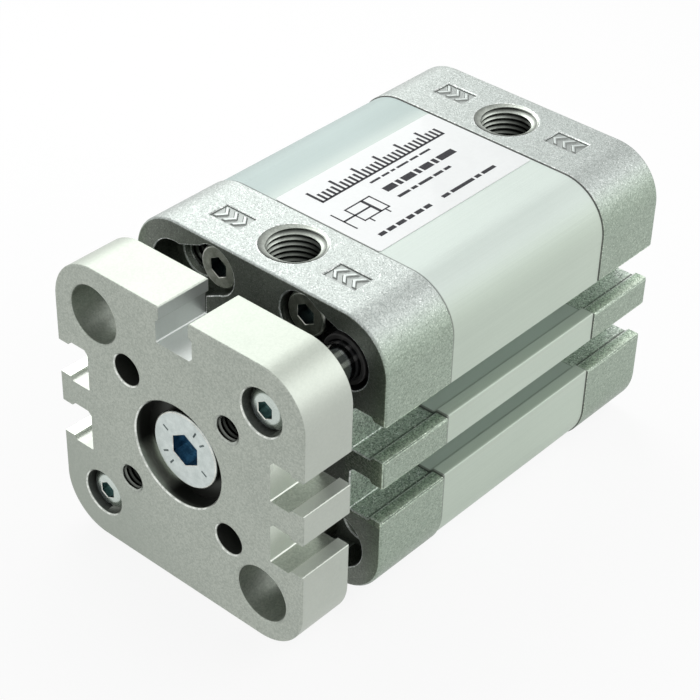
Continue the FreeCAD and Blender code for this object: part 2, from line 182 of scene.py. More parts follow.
def ownPiece(name, verts, faces, materials, smoothAngle=35.0, tone=None):
    # mesh from arrays; doubles are merged, which closes seams and poles; tone is one number for each point
    mesh = bpy.data.meshes.new(name)
    mesh.from_pydata(np.asarray(verts).tolist(), [], [list(map(int, f)) for f in faces])
    if tone is not None:
        values = mesh.attributes.new("tone", "FLOAT", "POINT").data
        values.foreach_set("value", np.asarray(tone, np.float32).ravel())
    work = bmesh.new()
    work.from_mesh(mesh)
    bmesh.ops.remove_doubles(work, verts=work.verts, dist=meshLook["ownMerge"])
    bmesh.ops.dissolve_degenerate(work, edges=work.edges, dist=meshLook["ownMerge"])
    work.to_mesh(mesh)
    work.free()
    for material in materials:
        mesh.materials.append(material)
    return linkedPiece(name, mesh, smoothAngle)


def gridFaces(rows, columns, start=0, flip=False):
    # quads of a rows by columns grid of points
    i, j = np.meshgrid(np.arange(rows - 1), np.arange(columns - 1), indexing="ij")
    a = (start + i * columns + j).ravel()
    quads = np.stack([a, a + columns, a + columns + 1, a + 1], axis=1)
    return quads[:, ::-1] if flip else quads


def turnedPiece(name, profile, centre, materials, steps=96):
    # (along, radius) pairs carried round X: point = centre + (along, radius * cos, radius * sin)
    along, radius = (np.asarray(profile, float) * mm).T
    turn = np.linspace(0.0, 2 * pi, steps + 1)
    a, t = np.meshgrid(along, turn, indexing="ij")
    r = np.repeat(radius[:, None], steps + 1, axis=1)
    points = np.stack([a, r * np.cos(t), r * np.sin(t)], axis=2) + np.asarray(centre) * mm
    return ownPiece(name, points.reshape(-1, 3), gridFaces(len(along), steps + 1), materials)


def dressedCopy(node, name, materials, edge, edgeSlot=0, pick=None, crisp=None):
    # copy of a CAD node with its flat faces joined; a live bevel breaks the edges that stand out, except
    # where crisp(point) is true, and pick(centres, normals) gives each face its material
    sharp = meshLook["sharpAngle"]
    work = bmesh.new()
    work.from_mesh(frame["nodes"][node].data)
    bmesh.ops.remove_doubles(work, verts=work.verts, dist=meshLook["copyMerge"])
    flat = radians(meshLook["flatAngle"])
    bmesh.ops.dissolve_limit(work, angle_limit=flat, verts=work.verts, edges=work.edges)
    weight = work.edges.layers.float.new("bevel_weight_edge")
    for line in work.edges:
        if line.is_manifold and line.calc_face_angle_signed() > radians(sharp):
            middle = (line.verts[0].co + line.verts[1].co) / 2 / mm
            line[weight] = 0.0 if crisp and crisp(*middle) else 1.0
    mesh = bpy.data.meshes.new(name)
    work.to_mesh(mesh)
    work.free()
    for material in materials:
        mesh.materials.append(material)
    choice = np.zeros(len(mesh.polygons), np.int32)
    if pick:
        centres, normals = np.empty((2, len(choice) * 3), np.float32)
        mesh.polygons.foreach_get("center", centres)
        mesh.polygons.foreach_get("normal", normals)
        choice = pick(centres.reshape(-1, 3) / mm, normals.reshape(-1, 3)).astype(np.int32)
    mesh.polygons.foreach_set("material_index", choice)
    made = linkedPiece(name, mesh, sharp)
    bevel = made.modifiers.new("brokenEdge", "BEVEL")
    bevel.width, bevel.segments = edge * mm, meshLook["bevelSteps"]
    bevel.limit_method = "WEIGHT"
    bevel.use_clamp_overlap = False
    bevel.miter_outer = "MITER_ARC"
    bevel.material = edgeSlot
    even = made.modifiers.new("flatFaces", "WEIGHTED_NORMAL")
    even.keep_sharp = True
    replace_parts(made, node)
    return made


def seat(piece, body):
    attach(piece, body)
    return piece


# ---- finishes ----

# the pairs are distances from the axis, in metres, over which a shade sets in or ends
# the palest colour is painted highlight: glints and the bright outer lips of the slots
castLook = {"light": rgb(0.50, 0.54, 0.52), "dark": rgb(0.25, 0.275, 0.258), "glintHighlight": rgb(0.92, 0.94, 0.92),
            "slotLight": rgb(0.76, 0.87, 0.77), "slotDark": rgb(0.22, 0.265, 0.225),
            "sideShade": rgb(0.88, 0.97, 0.84), "faceShade": rgb(0.40, 0.41, 0.37),
            # the darkest colour is painted shade at the foot of the slots' step and on the pads, and the dark
            # of the joints
            "shadeAndJoint": rgb(0.06, 0.06, 0.055), "grain": 5600.0, "roughness": 0.37,
            "slotDepth": ((0.0170, 0.0176), (0.0240, 0.0243)), "slotHalf": (0.0096, 0.0100),
            "step": ((0.0213, 0.0216), (0.0219, 0.0222)), "lip": (0.0229, 0.0241),
            "foot": (-0.022, -0.009), "flank": (0.0205, 0.0243), "seamWidth": 0.00014}


def castFinish(name, wearAndGlint=0.0, face=0.0):
    # tumbled casting: each small cell has its own tone, with a few painted glints; more contrast in the side
    # slots, with painted shade at the foot of their step and painted highlight on their outer lips; brighter
    # on worn edges, which get more painted glints; painted shade towards the bottom, on the flanks and on the
    # face that looks at the plate
    g = Graph(name)
    here = g.point()
    x, y, z = g.axes(here)
    cell = g.cells(here, castLook["grain"])
    tone = g.axes(cell.output("Color"))
    mottle = g.noise(here, 260.0, 3.0, 0.6)
    coarse = g.noise(here, 1500.0, 3.0, 0.65)
    off = abs(y)
    slot = off.band(*castLook["slotDepth"]) * abs(z).ramp(*castLook["slotHalf"], 1.0, 0.0) * (1.0 - wearAndGlint)
    level = (tone[0] * 0.62 + coarse * 0.14 + mottle * 0.14 + 0.06 + wearAndGlint * 0.30).clamped()
    skin = g.blend(level, castLook["dark"], castLook["light"])
    speckle = (tone[0] * 0.75 + coarse * 0.8 - 0.45).clamped()
    deep = g.blend(speckle, castLook["slotDark"], castLook["slotLight"])
    skin = g.blend(slot, skin, deep)
    # painted shade: a dark line at the foot of the step in the side slots, weaker on the face that looks at
    # the plate
    step = off.band(*castLook["step"]) * slot
    skin = g.blend(step * (0.75 - 0.75 * face), skin, castLook["shadeAndJoint"])
    # painted highlight along the outer lips of the side slots
    lip = slot * off.ramp(*castLook["lip"]) * (tone[0] * 0.6 + coarse * 0.8 - 0.1)
    skin = g.blend(lip.clamped(), skin, castLook["glintHighlight"])
    # painted glints, more of them on worn edges and in the slots
    glint = tone[1].ramp(0.88 - wearAndGlint * 0.4, 0.98, 0.0, 1.0)
    skin = g.blend(glint * (0.26 + wearAndGlint * 0.65 + slot * 0.4), skin, castLook["glintHighlight"])
    # painted shade: darker towards the bottom
    skin = g.blend(z.ramp(*castLook["foot"], 0.22, 0.0), skin, castLook["dark"])
    # painted shade on the flanks and on the face that looks at the plate
    skin = g.blend(off.ramp(*castLook["flank"]), skin, castLook["sideShade"], "MULTIPLY")
    skin = g.blend(face, skin, castLook["faceShade"], "MULTIPLY")
    seam = g.seam(x, castLook["seamWidth"], castLook["seamWidth"])
    skin = g.blend(seam * 0.8, skin, castLook["shadeAndJoint"])
    rough = castLook["roughness"] + tone[2] * 0.16 - glint * 0.08
    pits = g.noise(here, 3600.0, 2.0, 0.6)
    height = cell * 0.4 + coarse * 0.4 + tone[0] * 0.2 + pits * 0.8
    return g.finish(Base_Color=skin, Metallic=0.95, Roughness=rough, Normal=g.bump(height, 0.8, 0.00007))


barrelLook = {"light": rgb(0.63, 0.70, 0.655), "dark": rgb(0.565, 0.635, 0.59), "slot": rgb(0.48, 0.56, 0.50),
              "leftShade": rgb(0.70, 0.745, 0.77), "sideShade": rgb(0.98, 1.0, 0.93),
              "roughness": 0.48, "metallic": 0.4, "dieLines": 0.35,
              "slotDepth": ((0.0170, 0.0176), (0.0236, 0.0240)), "slotHalf": (0.0090, 0.0098),
              "step": ((0.02125, 0.0215), (0.0218, 0.0220)), "left": (-0.014, -0.008),
              "flank": (0.0205, 0.0240), "seamWidths": (0.0002, 0.0004)}


def barrelFinish():
    # satin anodised extrusion: fine die lines along X, a faint cloudiness; painted shade darkens the slot
    # walls, the foot of their step, the left side and the flanks
    g = Graph("satinAnodised")
    here = g.point()
    x, y, z = g.axes(here)
    lines = g.noise(g.point(scale=(6.0, 900.0, 900.0)), 3.0, 4.0, 0.6)
    die = g.noise(g.point(scale=(6.0, 3600.0, 3600.0)), 3.0, 1.0, 0.5)
    fine = g.noise(here, 4200.0, 2.0, 0.5)
    cloud = g.noise(here, 60.0, 2.0, 0.5)
    tone = (lines * 0.5 + cloud * 0.35 + fine * 0.25).ramp(0.25, 0.85)
    off = abs(y)
    slot = off.band(*barrelLook["slotDepth"]) * abs(z).ramp(*barrelLook["slotHalf"], 1.0, 0.0)
    skin = g.blend(tone, barrelLook["dark"], barrelLook["light"])
    # painted shade on the slot walls
    skin = g.blend(slot * 0.75, skin, barrelLook["slot"])
    step = off.band(*barrelLook["step"]) * slot
    skin = g.blend(step * 0.3, skin, castLook["shadeAndJoint"])
    skin = g.blend(y.ramp(*barrelLook["left"], 1.0, 0.0), skin, barrelLook["leftShade"], "MULTIPLY")
    skin = g.blend(off.ramp(*barrelLook["flank"]), skin, barrelLook["sideShade"], "MULTIPLY")
    rough = barrelLook["roughness"] + lines * 0.10 + fine * 0.05
    skin = g.blend(g.seam(x, *barrelLook["seamWidths"]) * 0.65, skin, castLook["shadeAndJoint"])
    normal = g.bump(die, barrelLook["dieLines"], 0.0001, g.bump(lines * 0.6 + fine * 0.4, 0.12, 0.00002))
    return g.finish(Base_Color=skin, Metallic=barrelLook["metallic"], Roughness=rough, Normal=normal)


plateLook = {"light": rgb(0.49, 0.525, 0.47), "dark": rgb(0.355, 0.39, 0.345), "edge": rgb(0.84, 0.87, 0.82),
             "edgeDark": rgb(0.50, 0.53, 0.49), "flankShade": rgb(0.74, 0.78, 0.72), "roughness": 0.42,
             "grain": 4300.0, "corner": (-0.042, -0.010), "flank": (0.0175, 0.0238)}


def plateFinish(name, light=plateLook["light"], dark=plateLook["dark"], flank=0.0, grain=0.9):
    # fine blasted aluminium: even grain, slight mottling; painted shade darkens the lower left corner; flank
    # sets how much painted light brightens it towards the sides
    g = Graph(name)
    here = g.point()
    x, y, z = g.axes(here)
    fine = g.noise(here, 5200.0, 2.0, 0.6)
    cloud = g.noise(here, 150.0, 4.0, 0.6)
    speck = g.axes(g.cells(here, plateLook["grain"]).output("Color"))
    tone = (speck[0] * grain + fine * 0.4 + cloud * 0.5 - (grain * 0.5 - 0.05)).clamped()
    # painted shade in the lower left corner
    skin = g.blend(tone * (y + z).ramp(*plateLook["corner"], 0.25, 1.0), dark, light)
    # painted light towards the sides
    skin = g.blend(abs(y).ramp(*plateLook["flank"]) * flank, skin, plateLook["flankShade"])
    rough = plateLook["roughness"] + fine * 0.12
    return g.finish(Base_Color=skin, Metallic=0.94, Roughness=rough, Normal=g.bump(fine, 0.2, 0.00003))


recessLook = {"radius": 0.0085, "mouthDepth": 0.0012, "dark": rgb(0.045, 0.048, 0.043),
              "light": rgb(0.52, 0.56, 0.50)}


def recessFinish(mouth):
    # turned recess in painted shade, near black; a painted sheen on its lower left wall, widest at the mouth
    g = Graph("shadedRecess")
    here = g.point()
    x, y, z = g.axes(here)
    toward = (y + z) * (-1 / (recessLook["radius"] * sqrt(2)))
    cloud = g.noise(here, 300.0, 3.0, 0.6)
    rings = g.noise(g.point(scale=(9000.0, 300.0, 300.0)), 1.0, 2.0, 0.5)
    opening = x.ramp(mouth - recessLook["mouthDepth"], mouth) * toward.ramp(-0.1, 0.8)
    sheen = (toward.ramp(0.84, 1.0) * 1.1 + opening * 0.45) * (0.6 + cloud * 0.5 + rings * 0.3)
    skin = g.blend(sheen.clamped(), recessLook["dark"], recessLook["light"])
    return g.finish(Base_Color=skin, Metallic=0.94, Roughness=0.34 + cloud * 0.1,
                    Normal=g.bump(rings, 0.15, 0.00002))


def cutEdgeFinish():
    # bright machined chamfer with small nicks
    g = Graph("machinedEdge")
    nick = g.noise(g.point(), 900.0, 4.0, 0.65)
    skin = g.blend(nick.ramp(0.42, 0.62), plateLook["edgeDark"], plateLook["edge"])
    return g.finish(Base_Color=skin, Metallic=1.0, Roughness=0.25 + nick * 0.12,
                    Normal=g.bump(nick, 0.1, 0.00002))


# colours of the dome's painted shade and painted highlight streaks
domeLook = {"radius": 0.0036, "rise": 0.0011, "shade": rgb(0.13, 0.16, 0.20), "highlightStreak": rgb(0.80, 0.86, 0.88)}


def turnedFinish(name, light, dark, roughness, pitch=0.00012, dome=False, highlightStreaks=()):
    # turned or ground metal: rings along X with a little stain; streaks are painted highlights, bright lines
    # along a rod at angles round it; a domed head, height = 1 - (distance / radius) squared, gets painted
    # shade and painted highlight streaks on its lower left
    g = Graph(name)
    here = g.point()
    x, y, z = g.axes(here)
    rings = (x * (2 * pi / pitch)).math("SINE") * 0.5 + 0.5
    stain = g.noise(here, 700.0, 3.0, 0.6)
    fine = g.noise(here, 5000.0, 2.0, 0.5)
    skin = g.blend((stain * 0.7 + fine * 0.3).ramp(0.3, 0.7), rgb(*dark), rgb(*light))
    rough = roughness + stain * 0.12 + rings * 0.04
    normal = g.bump(rings * 0.3 + fine * 0.7, 0.08, 0.00001)
    if dome or highlightStreaks:                                  # v and w are measured from the nearest corner axis
        v, w = ((c - c.math("SIGN") * (pitchHalf * mm)) * (1 / domeLook["radius"]) for c in (y, z))
    for angle in highlightStreaks:
        facing = (v * cos(radians(angle)) + w * sin(radians(angle))) / ((v * v + w * w) ** 0.5)
        skin = g.blend(facing.ramp(0.988, 0.998) * 0.9, skin, rgb(1, 1, 1))
    if dome:
        toward = (v + w) * -sqrt(0.5)
        highlightStreak = g.noise(here, 1300.0, 3.0, 0.7)
        # painted shade on the dome's lower left, then painted highlight streaks
        skin = g.blend(toward.ramp(0.10, 0.75) * (0.55 + stain * 0.6), skin, domeLook["shade"])
        highlightStreak = toward.band((0.0, 0.3), (0.5, 0.9)) * highlightStreak.ramp(0.55, 0.7)
        skin = g.blend(highlightStreak * 0.8, skin, domeLook["highlightStreak"])
        normal = g.bump(1.0 - (v * v + w * w), 1.0, domeLook["rise"], normal)
    return g.finish(Base_Color=skin, Metallic=1.0, Roughness=rough, Normal=normal)


def softFinish(name, light, dark, roughness):
    # rubber or moulded plastic: fine bloom and mould grain
    g = Graph(name)
    here = g.point()
    bloom = g.noise(here, 900.0, 3.0, 0.6)
    fine = g.noise(here, 6000.0, 2.0, 0.5)
    skin = g.blend(bloom.ramp(0.3, 0.75), rgb(*dark), rgb(*light))
    return g.finish(Base_Color=skin, Metallic=0.0, Roughness=roughness + bloom * 0.15,
                    Normal=g.bump(fine, 0.25, 0.00002))


def padFinish():
    # cast relief: painted shade on the floor between the raised marks, darkest on their slopes; tone comes
    # with the mesh
    g = Graph("padCasting")
    here = g.point()
    grit = g.noise(here, 3600.0, 3.0, 0.6)
    skin = g.blend((g.tone() * (0.7 + grit * 0.6)).clamped(), castLook["shadeAndJoint"], castLook["light"])
    return g.finish(Base_Color=skin, Metallic=0.95, Roughness=0.4 + grit * 0.15,
                    Normal=g.bump(grit, 0.6, 0.00006))


# form is the rounded V of one pitch, from root to crest and back; crest and root colours, and the tone, are
# painted light and painted shade
threadLook = {"steps": 72, "form": (0.0, 0.12, 0.62, 1.0, 0.88, 0.38), "sharpAngle": 28.0, "rootTone": 0.06,
              "wallTone": 0.34, "crest": rgb(0.77, 0.83, 0.75), "root": rgb(0.012, 0.014, 0.012)}


def threadFinish():
    # cut thread: painted light on the crests, painted shade in the roots and down the depth of the hole; tone
    # comes with the mesh
    g = Graph("cutThread")
    here = g.point()
    stain = g.noise(here, 900.0, 3.0, 0.6)
    burr = g.noise(here, 3500.0, 3.0, 0.6)
    tone = (g.tone() * (0.3 + stain * 0.6 + burr * 0.8)).clamped()
    skin = g.blend(tone, threadLook["root"], threadLook["crest"])
    return g.finish(Base_Color=skin, Metallic=0.95, Roughness=0.24 + burr * 0.2,
                    Normal=g.bump(burr, 0.6, 0.00005))


# light and dark tone of each finish; turned and soft ones then give their roughness
cast, anodised = castFinish("castAluminium"), barrelFinish()
# worn edges: wear with painted glints; the face that looks at the plate and the pockets: painted shade
wornGlintCast, shadedCastFace = castFinish("wornGlintEdge", wearAndGlint=1.0), castFinish("shadedCastFace", face=1.0)
# the plate's rim gets painted light towards the sides
blasted, plateRim = plateFinish("blastedPlate"), plateFinish("plateRim", flank=0.26, grain=0.25)
boredPlate = plateFinish("boredPlate", rgb(0.45, 0.48, 0.435), rgb(0.34, 0.365, 0.33), grain=0.4)
# milled slot faces: finer grain, and paler than the plate as painted light
milledLitTop = plateFinish("milledLitTop", rgb(0.61, 0.64, 0.62), rgb(0.53, 0.56, 0.54), grain=0.25)
milledLitSlot = plateFinish("milledLitSlot", rgb(0.86, 0.90, 0.835), rgb(0.75, 0.79, 0.73), grain=0.25)
# darker copies of the plate finish: painted shade round the guide rod screws and in the other holes
pocketBoreShade = plateFinish("pocketBoreShade", rgb(0.37, 0.39, 0.35), rgb(0.20, 0.215, 0.19), grain=0.5)
dowelBoreShade = plateFinish("dowelBoreShade", rgb(0.13, 0.14, 0.125), rgb(0.08, 0.085, 0.075), grain=0.25)
shadedRecess, cutEdge = recessFinish(plateFront * mm), cutEdgeFinish()
tieZinc = turnedFinish("dullZinc", (0.42, 0.43, 0.385), (0.22, 0.23, 0.20), 0.30)
rubbedZinc = turnedFinish("rubbedZinc", (0.85, 0.86, 0.80), (0.45, 0.46, 0.42), 0.22)
brightZinc = turnedFinish("brightZinc", (0.66, 0.72, 0.70), (0.52, 0.58, 0.56), 0.27)
# hexagon sockets: oxide, blue and teal tints on zinc, darkened by painted shade deep in the socket
socketDark = turnedFinish("socketOxideAndShade", (0.15, 0.19, 0.185), (0.05, 0.065, 0.065), 0.25)
socketBlue = turnedFinish("socketBluedShade", (0.22, 0.42, 0.56), (0.08, 0.15, 0.21), 0.25)
socketTealShade = turnedFinish("socketTealShade", (0.30, 0.43, 0.41), (0.12, 0.18, 0.18), 0.25)
domedZinc = turnedFinish("domedZinc", (0.60, 0.66, 0.62), (0.50, 0.56, 0.52), 0.20, dome=True)
threadCut, padCast = threadFinish(), padFinish()
groundSteel = turnedFinish("groundSteel", (0.46, 0.47, 0.48), (0.41, 0.42, 0.43), 0.05, 0.00008)
# guide rods: darker than the piston rod as painted shade, with painted highlight streaks
guideSteelShaded = turnedFinish("guideSteelShaded", (0.30, 0.31, 0.32), (0.25, 0.26, 0.27), 0.05, 0.00008,
                          highlightStreaks=(35, 68, 104))
padShade = turnedFinish("padShade", (0.16, 0.17, 0.155), (0.06, 0.065, 0.06), 0.5)
# near-black bush sleeves, also used as painted shade in the cap's bores round the guide rods
darkBushAndShade = softFinish("darkBushAndShade", (0.020, 0.019, 0.018), (0.008, 0.008, 0.008), 0.55)
bronze = turnedFinish("sinteredBronze", (0.52, 0.42, 0.27), (0.35, 0.27, 0.16), 0.38)
innerAlu = turnedFinish("turnedAluminium", (0.62, 0.63, 0.63), (0.50, 0.51, 0.51), 0.3)
blackRubber = softFinish("sealRubber", (0.035, 0.035, 0.037), (0.015, 0.015, 0.016), 0.5)
bumperRubber = softFinish("bumperRubber", (0.07, 0.07, 0.075), (0.03, 0.03, 0.03), 0.55)
magnetPlastic = softFinish("magnetCompound", (0.10, 0.10, 0.10), (0.06, 0.06, 0.06), 0.5)
wearPlastic = softFinish("wearBandPlastic", (0.22, 0.21, 0.18), (0.14, 0.13, 0.11), 0.45)
print("finishes made:", len(bpy.data.materials))

plainNodes = {"barrel_seal_rear": blackRubber, "barrel_seal_front": blackRubber,
              "bumper_rear": bumperRubber, "bumper_front": bumperRubber, "rod_bush": bronze,
              "piston_half_rear": innerAlu, "piston_half_front": innerAlu, "piston_seal_rear": blackRubber,
              "piston_seal_front": blackRubber, "magnet_ring": magnetPlastic, "wear_band": wearPlastic,
              "piston_nut": tieZinc}
for node, material in plainNodes.items():
    frame["nodes"][node].data.materials.clear()
    frame["nodes"][node].data.materials.append(material)
print("inner nodes finished:", len(plainNodes))


# ---- castings, barrel and plate ----

# radii round the axes of the holes, places of the slots, and where the plate's rounded rim begins
plateZones = {"corner": 4.2, "pilot": 9.0, "yoke": 2.9, "recess": 8.9, "recessStep": 0.3, "recessDepth": 3.2,
              "slotFloor": 17.8, "slotFloorEnd": 18.1, "slotStep": 20.8, "edge": 24.0, "slotHalf": 9.3,
              "topHalf": 3.7, "roundStart": 16.0, "roundRadius": 7.5}


def plateParts(centres, normals):
    # 1 on the rims of holes, 2 in the pilot recess, 3 in the side slots, 4 on the rim of the plate, 5 in the
    # slot above, 6 in the corner holes, 7 in the other holes, 8 round the guide rod screws, else 0
    zone = plateZones
    along, upward = np.abs(normals[:, 0]), normals[:, 2] > 0.5
    x, y, z = centres.T
    acrossY, acrossZ = np.abs(y), np.abs(z)
    away, corner = np.hypot(y, z), np.hypot(acrossY - pitchHalf, acrossZ - pitchHalf)
    nearCorner = corner < zone["corner"]
    nearYoke = np.hypot(acrossY - yokeHalf, acrossZ - yokeHalf) < zone["yoke"]
    inside = nearCorner | nearYoke | (away < zone["pilot"])
    rim = (along > 0.3) & (along < 0.95) & inside
    sunk = (x < plateFront - zone["recessStep"]) & (x > plateFront - zone["recessDepth"])
    recess = (away < zone["recess"]) & sunk
    hole = (along < 0.3) & inside
    slotFloor = (along < 0.1) & (acrossY > zone["slotFloor"]) & (acrossY < zone["slotFloorEnd"])
    inSlot = (acrossY > zone["slotFloor"]) & (acrossY < zone["edge"])
    slotWall = upward & ((y < 0) | (y > zone["slotStep"])) & inSlot
    slot = (slotFloor | slotWall) & (acrossZ < zone["slotHalf"])
    topSlot = (along < 0.1) & (z > zone["slotFloor"]) & (z < zone["edge"]) & (acrossY < zone["topHalf"])
    beyondY, beyondZ = (np.maximum(side - zone["roundStart"], 0) for side in (acrossY, acrossZ))
    flank = (along < 0.3) & (np.hypot(beyondY, beyondZ) > zone["roundRadius"])
    bored = np.where(hole & nearCorner, np.where(y * z > 0, 8, 6), 0)
    return np.select([rim, bored > 0, recess, hole, slot, topSlot, flank], [1, bored, 2, 7, 3, 5, 4], 0)


# cast pads beside the ports, with three chevrons each; side and inset place them from the axis and the ends
padLook = {"length": 3.8, "width": 5.8, "side": 11.05, "inset": 6.7, "depth": 0.3, "rise": 0.24,
           "lift": 0.012, "line": 0.26, "across": (-1.75, 0.0, 1.75), "point": 0.55, "slope": 0.8,
           "reach": 1.4, "soft": 0.18, "rows": 60, "columns": 90, "sharpAngle": 60.0}


# radii round the guide rods, and how far each zone reaches behind the pocket floor or the cap's face
capZones = {"crisp": 4.6, "bore": 5.3, "boreDepth": 6.0, "cone": 6.0, "coneDepth": 2.0, "faceStep": 0.3,
            "pocketStep": 0.5, "pocketHalf": 21.5}
edgeWidths = {"cast": 0.18, "barrel": 0.08, "plate": 0.05}


def inRodBore(x, y, z):
    corner = sqrt((abs(y) - pitchHalf) ** 2 + (abs(z) - pitchHalf) ** 2)
    return y * z > 0 and corner < capZones["crisp"] and x < capFront - capZones["faceStep"]


def padWall(centres, normals):
    # the upright walls of the pads beside the ports
    x, y, z = centres.T
    sunk = (z > capTop - padLook["depth"] - 0.02) & (z < capTop)
    return (np.abs(normals[:, 2]) < 0.5) & sunk & (np.abs(np.abs(y) - padLook["side"]) < 3.0)


def rearParts(centres, normals):
    return np.where(padWall(centres, normals), 2, 0)


def facingPlate(centres, normals):
    # 4 on pad walls, 3 in the bores round the guide rods, 2 on what looks at the plate and in the pockets,
    # else 0; 2, 3 and 4 carry painted shade
    zone = capZones
    x, y, z = centres.T
    behindFace = x < capFront - zone["faceStep"]
    corner = np.hypot(np.abs(y) - pitchHalf, np.abs(z) - pitchHalf)
    rodBore = (corner < zone["bore"]) & (y * z > 0) & (x > pocketFloor - zone["boreDepth"]) & behindFace
    central = np.maximum(np.abs(y), np.abs(z)) < zone["pocketHalf"]
    wall = (np.abs(normals[:, 0]) < 0.5) & (x > pocketFloor - zone["pocketStep"]) & (x < capFront) & central
    nearCone = (corner < zone["cone"]) & (x > pocketFloor - zone["coneDepth"]) & behindFace
    looking = (normals[:, 0] > 0.9) | wall | (nearCone & (normals[:, 0] > 0.3))
    return np.where(padWall(centres, normals), 4, np.where(rodBore, 3, np.where(looking, 2, 0)))


rearSkins, frontSkins = [cast, wornGlintCast, padShade], [cast, wornGlintCast, shadedCastFace, darkBushAndShade, padShade]
plateSkins = [blasted, cutEdge, shadedRecess, milledLitSlot, plateRim, milledLitTop, boredPlate, dowelBoreShade,
              pocketBoreShade]
seat(dressedCopy("rear_cap", "rearCapCasting", rearSkins, edgeWidths["cast"], edgeSlot=1, pick=rearParts),
     "body")
seat(dressedCopy("front_cap", "frontCapCasting", frontSkins, edgeWidths["cast"], edgeSlot=1,
                 pick=facingPlate, crisp=inRodBore), "body")
seat(dressedCopy("barrel", "barrelExtrusion", [anodised], edgeWidths["barrel"]), "body")
seat(dressedCopy("yoke_plate", "yokePlate", plateSkins, edgeWidths["plate"], pick=plateParts),
     "carriage")
print("castings, barrel and plate dressed")


# ---- screws ----

# head radius, half the width across flats and the depth of the hexagon socket; edge is the broken edge
screwLook = {"tie": {"head": 3.5, "half": 1.5, "depth": 2.0}, "yoke": {"half": 2.4, "depth": 2.6},
             "guide": {"head": 3.55, "half": 1.25, "depth": 1.3}, "edge": 0.09}


def socketFaces(node, axes, size, way):
    # 1 on faces inside the hexagon socket, else 0; way is 1 for heads that look to the front, -1 to the rear
    mouth = span(node)[1 if way > 0 else 0][0]

    def choose(centres, normals):
        inside = np.zeros(len(centres), bool)
        for y, z in axes:
            inside |= np.hypot(centres[:, 1] - y, centres[:, 2] - z) < size["half"] * 1.12
        deep = (mouth - centres[:, 0]) * way
        return (inside & (deep > 0.02) & (deep < size["depth"] + 0.1)).astype(int)
    return choose


def pairAxes(node, head):        # place of the outermost screws of a node, from its box and their head radius
    low, high = span(node)
    return (high[1] - low[1]) / 2 - head, (high[2] - low[2]) / 2 - head


ty, tz = pairAxes("front_tie_screws", screwLook["tie"]["head"])
gy, gz = pairAxes("guide_screws", screwLook["guide"]["head"])
tieAxes, rodAxes = [(ty, tz), (-ty, tz), (ty, -tz), (-ty, -tz)], [(gy, gz), (-gy, -gz)]
for node, name, body, slot, metal, socket, axes, kind, way in (
        ("front_tie_screws", "frontTieScrews", "body", "zinc", tieZinc, socketDark, tieAxes, "tie", 1),
        ("rear_tie_screws", "rearTieScrews", "body", "zinc", tieZinc, socketDark, tieAxes, "tie", -1),
        ("yoke_screw", "yokeScrew", "carriage", "bright_screw", brightZinc, socketBlue, [(0, 0)], "yoke", 1),
        ("guide_screws", "guideRodScrews", "carriage", "bright_screw", domedZinc, socketTealShade, rodAxes,
         "guide", 1)):
    skins, sockets = [metal, socket, rubbedZinc], socketFaces(node, axes, screwLook[kind], way)
    seat(dressedCopy(node, name, skins, screwLook["edge"], edgeSlot=2, pick=sockets), body)

stampLook = {"angles": (38.0, 62.0, 150.0, 208.0, 232.0, 330.0), "inner": 3.8, "outer": 4.9, "half": 0.15,
             "lift": 0.012}


def stampedMarks():
    # short radial stamped marks on the yoke screw's head, as flat quads whose dark is painted shade:
    # corner = ray * radius + side * half width
    turn = np.radians(stampLook["angles"])
    ray = np.stack([np.cos(turn), np.sin(turn)], axis=1)[:, None, :]
    side = np.stack([-np.sin(turn), np.cos(turn)], axis=1)[:, None, :]
    inner, outer, half = stampLook["inner"], stampLook["outer"], stampLook["half"]
    reach = np.array([inner, outer, outer, inner])[None, :, None]
    shift = np.array([-half, -half, half, half])[None, :, None]
    corners = ray * reach + side * shift
    headTop = span("yoke_screw")[1][0] + stampLook["lift"]
    verts = np.concatenate([np.full(corners.shape[:2] + (1,), headTop), corners], axis=2).reshape(-1, 3)
    return ownPiece("yokeScrewMarks", verts * mm, np.arange(len(verts)).reshape(-1, 4), [socketDark])


seat(stampedMarks(), "carriage")
print("screws dressed")


# ---- rods, bushes and rod seal ----

rodLook = {"taper": 0.6, "spigot": 4.0, "spigotEdge": 0.5, "noseEdge": 0.6, "shoulderInset": 1.4}
bushLook = {"bore": 3.04, "edge": 0.15, "leadIn": 0.22}
wiperBore = 6.04


def turnedSize(node):            # ends along X, outer radius and axis of a node, in millimetres
    low, high = span(node)
    return low[0], high[0], (high[1] - low[1]) / 2, (0, (low[1] + high[1]) / 2, (low[2] + high[2]) / 2)


for node in ("guide_rod_upper", "guide_rod_lower"):      # plain rods with a tapered rear end
    x0, x1, radius, centre = turnedSize(node)
    taper = rodLook["taper"]
    profile = [(x0, 0), (x0, radius - taper), (x0 + taper * 0.3, radius - taper * 0.35), (x0 + taper, radius),
               (x1, radius), (x1, 0)]
    rod = turnedPiece(node + "_ground", profile, centre, [guideSteelShaded])
    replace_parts(seat(rod, "carriage"), node)

x0, x1, radius, centre = turnedSize("piston_rod")        # spigot for the piston, then the rod itself
shoulder = span("piston_half_front")[1][0] - rodLook["shoulderInset"]
spigot, small, nose = rodLook["spigot"], rodLook["spigotEdge"], rodLook["noseEdge"]
profile = [(x0, 0), (x0, spigot - small), (x0 + small, spigot), (shoulder, spigot), (shoulder, radius),
           (x1 - nose, radius), (x1, radius - nose), (x1, 0)]
rod = turnedPiece("piston_rod_ground", profile, (0, 0, 0), [groundSteel])
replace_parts(seat(rod, "carriage"), "piston_rod")

